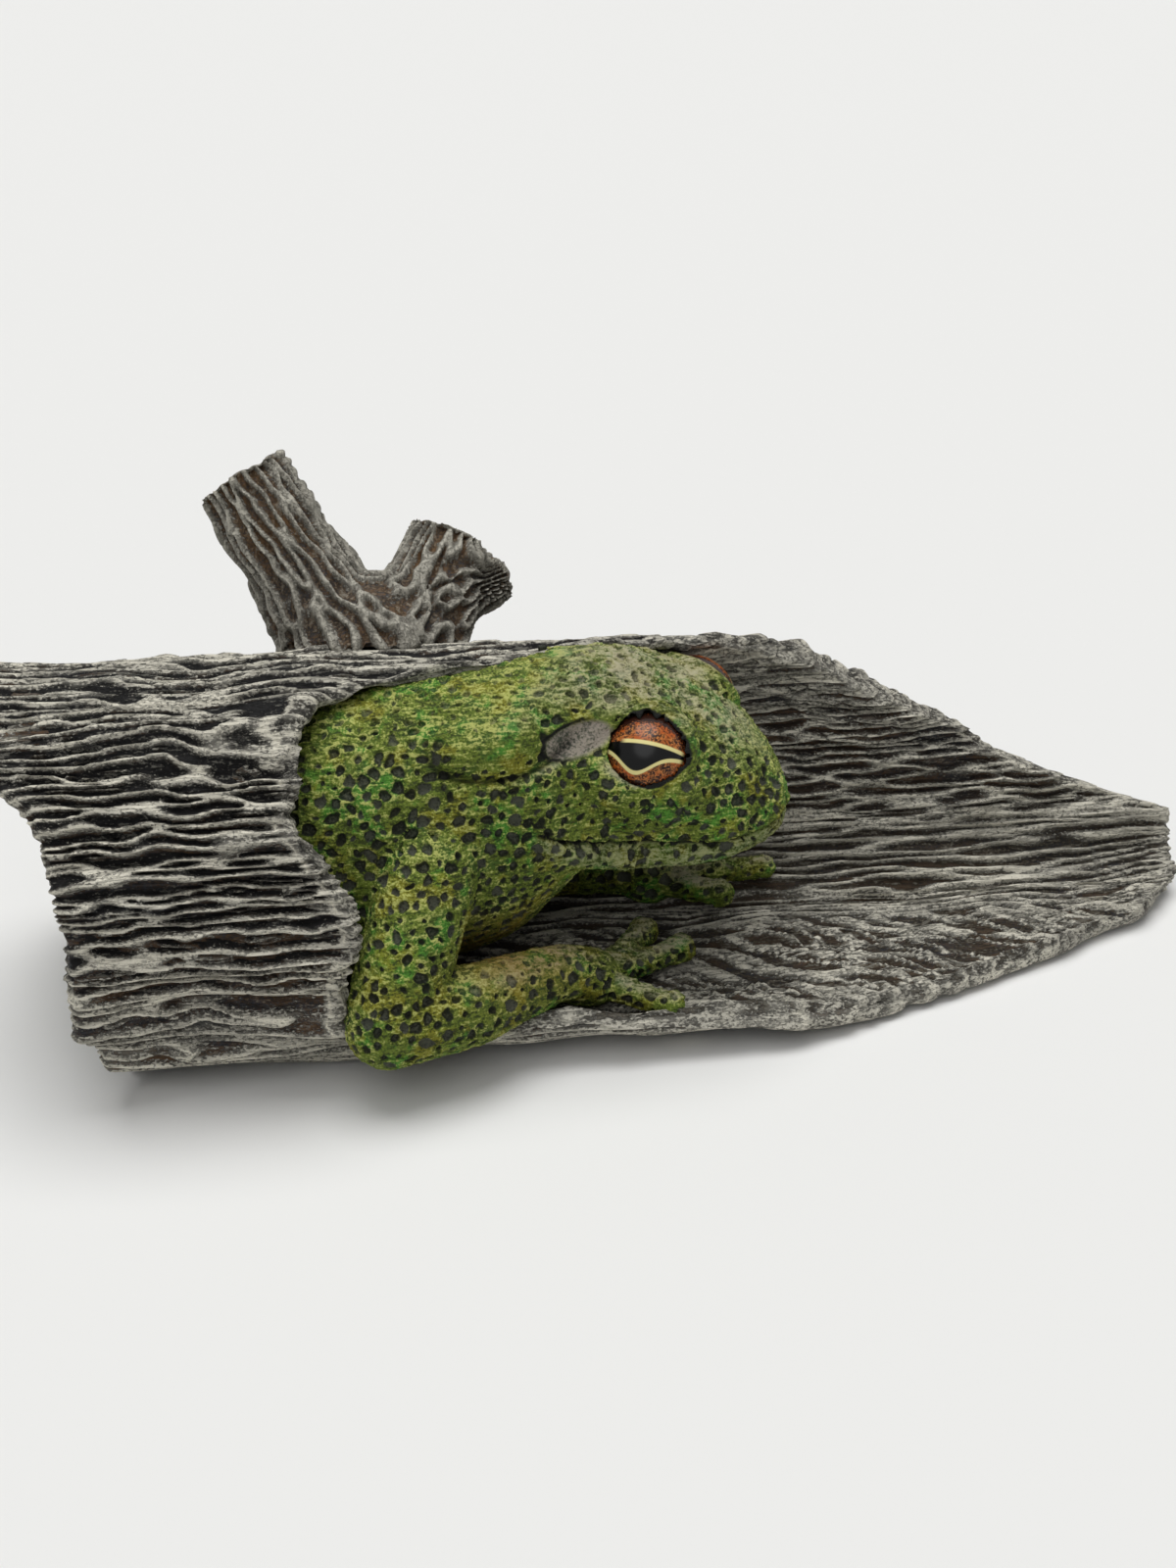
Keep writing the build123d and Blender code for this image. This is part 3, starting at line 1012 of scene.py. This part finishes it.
@dataclass
class ForkedBranch:
    """The broken branch on the log's back."""

    voxel: float = 0.4
    groove_depth: float = 1.3
    ridge_gap: float = 1.7
    ring_gap: float = 1.9
    ridge_length: float = 6.5
    limb_radius: float = 7.0
    smooth_steps: int = 12
    ring_wobble: float = 1.2
    shade_angle: float = 70.0
    limbs: tuple[tuple[Triple, Triple], ...] = (
        ((-36.0, 20.0, 50.0), (-57.0, 36.0, 79.0)),
        ((-34.0, 20.0, 50.0), (-24.0, 33.0, 68.0)),
        ((-29.0, 26.0, 57.0), (-15.0, 31.0, 61.0)),
    )

    def build(self, finish: BarkFinish) -> Shape:
        """Remesh the solid's copy and carve bark along each limb.

        Args:
            finish: The bark's colours.

        Returns:
            The branch's piece.
        """
        shape = copied("branch_bark", ["forked_branch"])
        shape.modify("REMESH", mode="VOXEL", voxel_size=self.voxel * MM)
        shape.modify("SMOOTH", factor=0.5, iterations=self.smooth_steps)
        points = shape.points()
        normals = shape.normals()
        weights, borders = [], []
        ends, rings = np.zeros(len(points)), np.zeros(len(points))
        for number, (foot, tip) in enumerate(self.limbs):
            limb = np.array(tip) - np.array(foot)
            length, way = np.linalg.norm(limb), unit(limb)
            side = unit(np.cross(way, UP))
            offset = points - np.array(foot)
            span = offset @ way
            aside = offset - np.clip(span, 0.0, length)[:, None] * way
            weights.append(np.exp(-np.linalg.norm(aside, axis=1) / 1.2))
            turn = np.arctan2(offset @ side, offset @ np.cross(side, way)) * self.limb_radius
            facing = smooth(0.5, 0.8, normals @ way) * smooth(0.55, 0.8, span / length)
            out = np.linalg.norm(offset - span[:, None] * way, axis=1)
            out = out + ripple(points / 3.5 + number) * self.ring_wobble
            rings = np.where(facing > ends, 0.36 + 0.24 * np.sin(out * 2.0 * math.pi / self.ring_gap), rings)
            ends = np.maximum(ends, facing)
            ridges = Ridges(1.0, number * 5.0 + 0.4, self.ridge_length)
            borders.append(ridges.away(span, turn / self.ridge_gap, self.ridge_gap))
        crest = np.sum([w * b for w, b in zip(weights, borders)], axis=0) / np.sum(weights, axis=0)
        crest = crest * (1.0 - ends) + rings * ends
        worn = smooth(0.1, 0.6, ripple(points / 6.0 + 50.0))
        bumps = ripple(points / 5.0) * 0.6 + ripple(points / 11.0 + 30.0) * 0.9
        height = bumps - self.groove_depth * smooth(0.05, 0.8, np.abs(crest) - 0.2 * worn) * (1.0 - 0.5 * ends)
        height = height + ends * 0.45 * ripple(points / 1.8 + 70.0)
        shape.move(points + normals * height[:, None])
        shape.keep(crest=crest, flat=worn, inside=np.full(len(points), 0.75))
        return shape.finish(finish.make("branch_bark"), "bark", "forked_branch", self.shade_angle)


@dataclass(frozen=True)
class Oval:
    """An oval on the side of the head, in millimetres from the middle between the eyes."""

    ahead: float
    above: float
    half_length: float
    half_height: float

    def reach(self, ahead: Array, above: Array) -> Array:
        """Distance from the oval's middle, with 1 on its edge."""
        return np.hypot((ahead - self.ahead) / self.half_length, (above - self.above) / self.half_height)


@dataclass
class Frog:
    """Body, head and arms, modelled as one skin and then parted at the shoulders."""

    voxel: float = 0.44
    pit_depth: float = 0.65
    pit_size: float = 1.9
    pit_wall: float = 0.12
    pit_warps: tuple[Triple, ...] = ((3.0, 9.0, 0.7), (1.1, 4.0, 0.45))
    mouth_ahead: tuple[float, ...] = (-13.0, -11.3, -8.6, -5.0, 0.0, 6.0, 12.0, 17.0, 20.0)
    mouth_above: tuple[float, ...] = (-7.6, -8.8, -10.8, -12.6, -13.3, -13.6, -13.6, -13.0, -12.0)
    mouth_depth: float = 0.8
    lip_rise: float = 0.3
    jaw_ahead: tuple[float, ...] = (-13.0, -8.0, -3.0, 6.0, 12.0, 17.0)
    jaw_drop: tuple[float, ...] = (0.0, 1.5, 3.2, 2.5, 1.2, 0.0)
    ear: Oval = Oval(-8.4, 4.8, 3.9, 2.5)
    ear_depth: float = 0.5
    gland: Oval = Oval(-18.0, 5.3, 6.6, 3.3)
    gland_rise: float = 0.4
    crease_depth: float = 1.1
    brow_open: float = 62.0
    brow_thickness: float = 1.3
    lid_open: float = 54.0
    lid_rise: float = 0.2
    lower_lid: float = 11.0
    far_lid: float = 14.0
    gaze_forward: float = 18.0
    gaze_lift: float = 32.0
    rust_at: Triple = (-24.0, -18.0, 17.0)
    rust_size: Triple = (16.0, 9.0, 6.0)
    smooth_steps: int = 14
    seam_steps: int = 40
    seam_reach: float = 2.0
    place_seed: int = 5
    size_seed: int = 3
    stain_seed: int = 8
    shade_angle: float = 75.0

    def __post_init__(self) -> None:
        """Find the head's axes from the two eye beads."""
        boxes = {side: np.array(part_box(f"{side.word}_eye")) / MM for side in Side}
        self.eyes = {side: (low + high) / 2.0 for side, (low, high) in boxes.items()}
        low, high = boxes[Side.RIGHT]
        self.eye_radius = (high - low)[2] / 2.0
        self.left = unit(self.eyes[Side.LEFT] - self.eyes[Side.RIGHT])
        self.ahead = np.cross(self.left, UP)
        self.middle = (self.eyes[Side.LEFT] + self.eyes[Side.RIGHT]) / 2.0

    def head_place(self, points: Array) -> tuple[Array, Array, Array]:
        """Places ahead of, left of and above the middle between the eyes."""
        offset = points - self.middle
        return offset @ self.ahead, offset @ self.left, offset @ UP

    def sculpt(self, shape: Shape) -> Array:
        """Press the mouth, the ears, the glands and the eyelids into the skin.

        Args:
            shape: The whole skin.

        Returns:
            1 where the skin has no pits, 0 where it has.
        """
        points, normals = shape.points(), shape.normals()
        ahead, left, above = self.head_place(points)
        rise = above - np.interp(ahead, self.mouth_ahead, self.mouth_above)
        on_mouth = smooth(self.mouth_ahead[0], self.mouth_ahead[1], ahead) * smooth(-8.0, -4.0, rise)
        mouth = near(rise, 0.5) * on_mouth
        jaw = smooth(-0.2, -1.8, rise) * on_mouth * np.interp(ahead, self.jaw_ahead, self.jaw_drop)
        upper_lip = near(rise - 1.1, 0.9) * on_mouth
        flank = smooth(6.0, 10.0, np.abs(left))
        ear_at, gland_at = self.ear.reach(ahead, above), self.gland.reach(ahead, above)
        ear = (1.0 - smooth(0.85, 1.0, ear_at)) * flank
        gland = near(gland_at, 0.95) * flank
        crease = near(gland_at - 1.35, 0.22) * flank * smooth(3.0, -1.0, above - self.gland.above)
        lift, lid = self.close_lids(points)
        height = self.gland_rise * gland - self.ear_depth * ear - self.mouth_depth * mouth
        height = height + self.lip_rise * upper_lip + jaw + self.lid_rise * lid - self.crease_depth * crease
        shape.move(points + lift + normals * height[:, None])
        rim = near(ear_at - 1.0, 0.13) * flank * smooth(1.2, -0.6, (ahead - self.ear.ahead) / self.ear.half_length)
        dark = np.maximum(mouth * smooth(22.0, 12.0, ahead), smooth(0.9, 1.0, lid))
        shape.keep(
            ear=ear * 0.95,
            # band under the mouth line: the lower lip's paler paint together with painted light from below
            throat=smooth(0.0, -0.6, rise) * on_mouth * smooth(-4.5, -2.5, rise) * 0.75,
            shade=np.maximum(np.maximum(dark, rim), 0.7 * crease),
        )
        return np.maximum(ear, np.maximum(smooth(0.35, 0.8, gland), smooth(0.3, 0.8, lid)))

    def close_lids(self, points: Array) -> tuple[Array, Array]:
        """Draw brows and eyelids over both eyes.

        Args:
            points: The skin's points.

        Returns:
            How far each point moves, and 1 at a lid's edge fading to 0 away from it.
        """
        lid = np.zeros(len(points))
        lift = np.zeros_like(points)
        for side, eye in self.eyes.items():
            gaze = self.gaze(side)
            offset = points - eye
            reach, out = np.linalg.norm(offset, axis=1), unit(offset)
            clear = reach - self.eye_radius
            turn = np.degrees(np.arccos(np.clip(out @ gaze, -1.0, 1.0)))
            lid = np.maximum(lid, near(clear - 0.2, 0.8) * smooth(115.0, 95.0, turn))
            cover = smooth(self.brow_open, self.brow_open + 12.0, turn) * smooth(140.0, 110.0, turn)
            cover = cover * smooth(4.0, 0.5, clear) * smooth(-2.0, 2.0, offset[:, 2])
            lift += out * (cover * np.maximum(self.brow_thickness - clear, 0.0))[:, None]
            up = unit(UP - gaze * (UP @ gaze))
            spin = np.arctan2(offset @ np.cross(gaze, up), offset @ up)
            edge = clear < 1.2
            rim = self.lid_edge(spin[edge], turn[edge], spin)
            wanted = self.lid_open - self.lower_lid * smooth(0.0, -1.0, np.cos(spin))
            wanted = wanted + (self.far_lid if side is Side.LEFT else 0.0)
            close = np.clip(rim - wanted, 0.0, 60.0) * smooth(5.5, 0.6, clear)
            close = np.radians(close * smooth(rim + 70.0, rim + 15.0, turn))[:, None]
            toward = unit(gaze - out * (out @ gaze)[:, None])
            lift += (out * (np.cos(close) - 1.0) + toward * np.sin(close)) * reach[:, None]
        return lift, lid

    @staticmethod
    def lid_edge(spin: Array, turn: Array, wanted: Array, bins: int = 48) -> Array:
        """Find how far the skin's edge round an eye lies from the gaze.

        Args:
            spin: Direction round the gaze of the skin's points near the eye.
            turn: Degrees of the same points from the gaze.
            wanted: Directions to answer for.
            bins: Steps round the eye.

        Returns:
            The edge's degrees from the gaze in each wanted direction.
        """
        step = np.floor((spin + math.pi) / (2.0 * math.pi) * bins).astype(int) % bins
        edge = np.array([turn[step == k].min(initial=90.0) for k in range(bins)])
        edge = np.mean([np.roll(edge, k) for k in range(-2, 3)], axis=0)
        centres = (np.arange(bins) + 0.5) / bins * 2.0 * math.pi - math.pi
        return np.interp(wanted, centres, edge, period=2.0 * math.pi)

    def gaze(self, side: Side) -> Array:
        """Find where an eye looks.

        Args:
            side: Which eye.

        Returns:
            Its direction.
        """
        turn, tilt = math.radians(self.gaze_forward), math.radians(self.gaze_lift)
        level = self.left * (side.value * math.cos(turn)) + self.ahead * math.sin(turn)
        return level * math.cos(tilt) + UP * math.sin(tilt)

    def pit(self, shape: Shape, plain: Array) -> None:
        """Press irregular pits with raised rims into the skin.

        Args:
            shape: The whole skin.
            plain: 1 where the skin has no pits, 0 where it has.
        """
        points, normals = shape.points(), shape.normals()
        warped = points
        for size, shift, reach in self.pit_warps:
            warped = warped + np.stack([ripple(points / size + k * shift) for k in range(3)], axis=1) * reach
        spacing = self.pit_size * (1.0 + 0.25 * ripple(points / 7.0))
        picks = scattered(warped, spacing, self.place_seed)
        tree = KDTree(len(picks))
        for row, spot in zip(picks.tolist(), warped[picks].tolist()):
            tree.insert(spot, row)
        tree.balance()
        found = [tree.find_n(spot, 2) for spot in warped.tolist()]
        first, second = (np.array([pair[k][2] for pair in found]) for k in (0, 1))
        row, other = (np.array([pair[k][1] for pair in found]) for k in (0, 1))
        border = (second ** 2 - first ** 2) / (2.0 * np.linalg.norm(warped[row] - warped[other], axis=1))
        seeds = (self.size_seed, self.stain_seed)
        tag, stain = (np.random.default_rng(seed).uniform(0.0, 1.0, len(points))[row] for seed in seeds)
        top = np.clip(normals[:, 2], 0.0, 1.0)
        inside = np.minimum(border - self.pit_wall, spacing[row] * (0.25 + 0.33 * tag) - first)
        inside = inside - 3.0 * plain - 0.2 * smooth(0.5, 0.95, top)
        folds = 1.0 - 2.0 * np.abs(ripple(points / np.array([5.0, 3.0, 2.2]) + 17.0))
        rough = ripple(points / 0.9) * 0.09 + ripple(points / 2.2) * 0.14 + folds * 0.25 * smooth(0.2, 0.8, top)
        height = rough + 0.2 * near(inside + 0.2, 0.25) - self.pit_depth * smooth(-0.15, 0.4, inside)
        shape.move(points + normals * (height * (1.0 - 0.5 * plain))[:, None])
        crown = smooth(0.5, 0.95, top) * smooth(-20.0, -8.0, self.head_place(points)[0])
        shape.keep(pit=inside, top=top, crown=crown, stain=stain)

    def tint(self, shape: Shape) -> None:
        """Mark where the paint turns rusty, in the crook of the right arm."""
        offset = (shape.points() - np.array(self.rust_at)) / np.array(self.rust_size)
        shape.keep(rust=near(np.linalg.norm(offset, axis=1), 1.0) * 0.8)

    def build(self, finish: SkinFinish) -> list[Shape]:
        """Model the frog's skin and part it into body and arms.

        Args:
            finish: The skin's colours.

        Returns:
            The body's and the arms' pieces.
        """
        nodes = ["frog_body", "right_arm", "left_arm"]
        shape = copied("frog_skin", nodes)
        shape.modify("REMESH", mode="VOXEL", voxel_size=self.voxel * MM)
        self.drop_bubbles(shape)
        shape.modify("SMOOTH", factor=0.5, iterations=self.smooth_steps)
        self.ease_seam(shape)
        self.pit(shape, self.sculpt(shape))
        self.tint(shape)
        material = finish.make("frog_skin")
        pieces = self.part(shape, nodes)
        return [piece.finish(material, "frog_skin", node, self.shade_angle) for piece, node in zip(pieces, nodes)]

    def ease_seam(self, shape: Shape) -> None:
        """Smooth the teeth that the log's ridges press into the skin.

        Args:
            shape: The whole skin.
        """
        tree = solid_tree("hollow_log")
        group = shape.item.vertex_groups.new(name="seam")
        for vertex in shape.mesh.vertices:
            gap = tree.find_nearest(vertex.co)[3] / MM
            group.add([vertex.index], float(smooth(self.seam_reach, 0.6, np.array(gap))), "REPLACE")
        shape.modify("SMOOTH", factor=0.6, iterations=self.seam_steps, vertex_group="seam")

    @staticmethod
    def drop_bubbles(shape: Shape) -> None:
        """Delete the closed bubbles that the pins' holes leave inside.

        Args:
            shape: The whole skin.
        """
        shape.edit(pick=Pick.NONE)
        foremost = int(np.argmax(shape.points()[:, 0]))
        shape.mesh.vertices[foremost].select = True
        shape.edit(
            (bpy.ops.mesh.select_linked, {}),
            (bpy.ops.mesh.select_all, {"action": "INVERT"}),
            (bpy.ops.mesh.delete, {"type": "VERT"}),
            pick=Pick.AS_IS,
        )

    @staticmethod
    def part(shape: Shape, nodes: Sequence[str]) -> list[Shape]:
        """Cut the skin where it passes from the body to an arm, and close the cuts.

        Args:
            shape: The whole skin.
            nodes: The CAD nodes that it is made of.

        Returns:
            One closed piece for each node.
        """
        trees = [solid_tree(node) for node in nodes]
        gaps = np.array([[tree.find_nearest(v.co)[3] for tree in trees] for v in shape.mesh.vertices])
        owner = np.argmin(gaps + np.array([0.0, 0.05, 0.05]) * MM, axis=1)
        face_owner = [int(np.bincount(owner[list(face.vertices)]).argmax()) for face in shape.mesh.polygons]
        pieces = []
        for number, node in enumerate(nodes):
            piece = Shape(placed(node + "_skin", shape.mesh.copy()))
            piece.edit(pick=Pick.NONE)
            piece.mesh.polygons.foreach_set("select", [owned != number for owned in face_owner])
            piece.edit(
                (bpy.ops.mesh.select_mode, {"type": "FACE"}),
                (bpy.ops.mesh.delete, {"type": "FACE"}),
                (bpy.ops.mesh.select_mode, {"type": "VERT"}),
                (bpy.ops.mesh.select_all, {"action": "DESELECT"}),
                (bpy.ops.mesh.select_non_manifold, {}),
                (bpy.ops.mesh.mark_sharp, {}),
                (bpy.ops.mesh.edge_face_add, {}),
                pick=Pick.AS_IS,
            )
            pieces.append(piece)
        bpy.data.objects.remove(shape.item)
        return pieces


@dataclass
class Eye:
    """A glossy bead with its painted iris."""

    side: Side
    frog: Frog
    opening_share: float = 0.91
    flatten: float = 0.82
    segments: int = 96
    rings: int = 64
    shade_angle: float = 60.0

    def build(self, finish: EyeFinish) -> Shape:
        """Model the bead and keep how far each point lies from the pupil's middle.

        Args:
            finish: The eye's colours.

        Returns:
            The bead's piece.
        """
        name, centre, radius = self.side.word, self.frog.eyes[self.side], self.frog.eye_radius
        deselect()
        bpy.ops.mesh.primitive_uv_sphere_add(
            segments=self.segments, ring_count=self.rings, radius=radius * MM, location=Vector(centre) * MM
        )
        shape = Shape(bpy.context.object)
        shape.item.name = f"{name}_eye_bead"
        shape.activate()
        bpy.ops.object.transform_apply(location=True, rotation=True, scale=True)
        gaze = self.frog.gaze(self.side)
        ahead = unit(self.frog.ahead - gaze * (self.frog.ahead @ gaze))
        above = np.cross(gaze, ahead)
        above = above * np.sign(above[2])
        offset = (shape.points() - centre) / (radius * self.opening_share)
        behind = 4.0 * smooth(0.1, -0.1, offset @ gaze)
        shape.keep(ahead=offset @ ahead + behind, above=offset @ above / self.flatten + behind)
        return shape.finish(finish.make(f"{name}_iris"), "eye", f"{name}_eye", self.shade_angle)


@dataclass
class Underside:
    """The felt under the log, and the pins inside the castings."""

    edge: float = 0.3
    shade_angle: float = 40.0
    pins: tuple[str, ...] = ("branch_pin", "right_arm_pin", "left_arm_pin")

    def build(self, felt: FeltFinish, pin: PinFinish) -> Shape:
        """Model the felt and dress the pins.

        Args:
            felt: The felt's colours.
            pin: The pins' colours.

        Returns:
            The felt's piece.
        """
        shape = copied("felt_sheet", ["base_felt"])
        shape.edit(
            (bpy.ops.mesh.dissolve_limited, {"angle_limit": math.radians(1.0)}),
            (bpy.ops.mesh.normals_make_consistent, {"inside": False}),
        )
        shape.modify("BEVEL", width=self.edge * MM, segments=2)
        shape.finish(felt.make("felt"), "felt", "base_felt", self.shade_angle)
        steel = pin.make("pin_steel")
        for node in self.pins:
            mesh = frame["nodes"][node].data
            mesh.materials.clear()
            mesh.materials.append(steel)
        return shape


@dataclass
class Studio:
    """Pale floor, soft light and the photograph's camera."""

    azimuth: float = -7.0
    elevation: float = 27.0
    distance: float = 300.0
    target: tuple = (-6.0, -8.0, 41.0)
    lens: float = 45.0
    floor: str = "e9e9e7"
    white: str = "ffffff"
    floor_size: float = 6.0
    fill: float = 0.1
    backdrop: float = 0.82
    lights: tuple[tuple[str, Triple, float, float], ...] = (
        ("key", (0.0, 0.1, 1.0), 45.0, 2.25),
        ("front", (-0.3, -0.9, 1.1), 50.0, 0.92),
    )

    def build(self) -> None:
        """Set up the camera, the floor and the lights."""
        self.add_camera()
        self.add_floor()
        for light in self.lights:
            self.add_light(*light)
        sky = Paint("studio", Owner.WORLD)
        seen = sky.ray("Is Camera Ray").most(sky.ray("Is Glossy Ray")).most(sky.ray("Is Transmission Ray"))
        strength = seen * (self.backdrop - self.fill) + self.fill
        bpy.context.scene.world = sky.finish(Color=self.white, Strength=strength)
        bpy.context.scene.view_settings.view_transform = "Standard"

    def add_camera(self) -> None:
        """Aim the camera as the photograph was taken."""
        turn, tilt = math.radians(self.azimuth), math.radians(self.elevation)
        back = Vector((math.sin(turn) * math.cos(tilt), -math.cos(turn) * math.cos(tilt), math.sin(tilt)))
        data = bpy.data.cameras.new("photo_camera")
        data.lens = self.lens
        data.clip_start = 0.01
        item = placed("photo_camera", data)
        item.location = (Vector(self.target) + back * self.distance) * MM
        item.rotation_euler = back.to_track_quat("Z", "Y").to_euler()
        bpy.context.scene.camera = item

    def add_floor(self) -> None:
        """Lay a flat pale floor."""
        deselect()
        bpy.ops.mesh.primitive_plane_add(size=self.floor_size)
        floor = bpy.context.object
        floor.name = "floor"
        paint = Paint("floor")
        floor.data.materials.append(paint.finish(Base_Color=self.floor, Roughness=0.9, Specular_IOR_Level=0.2))

    @staticmethod
    def add_light(name: str, way: Triple, spread: float, power: float) -> None:
        """Hang a broad soft light.

        Args:
            name: The light's name.
            way: Direction from the object to the light.
            spread: Degrees that the light takes up in the sky.
            power: Strength of the light.
        """
        data = bpy.data.lights.new(name, "SUN")
        data.angle = math.radians(spread)
        data.energy = power
        placed(name, data).rotation_euler = Vector(way).to_track_quat("Z", "Y").to_euler()


def main() -> None:
    """Build every piece."""
    logging.basicConfig(level=logging.INFO, format="%(name)s: %(message)s")
    Studio().build()
    frog = Frog()
    weathered = BarkFinish(
        groove="221f1c", wash="6e5338", dust="6a5842", side="3d3d3e", grey="87847a", ridge="aaa69a", chalk="c8c4b6",
        lengthwise=(1.2, 1.2, 7.0), width=0.8,
    )
    pieces = [
        HollowLog().build(BarkFinish()),
        ForkedBranch().build(weathered),
        *frog.build(SkinFinish()),
        *(Eye(side, frog).build(EyeFinish()) for side in Side),
        Underside().build(FeltFinish(), PinFinish()),
    ]
    for piece in pieces:
        log.info("%s: %d faces", piece.item.name, len(piece.mesh.polygons))
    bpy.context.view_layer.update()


if __name__ == "__main__":
    main()
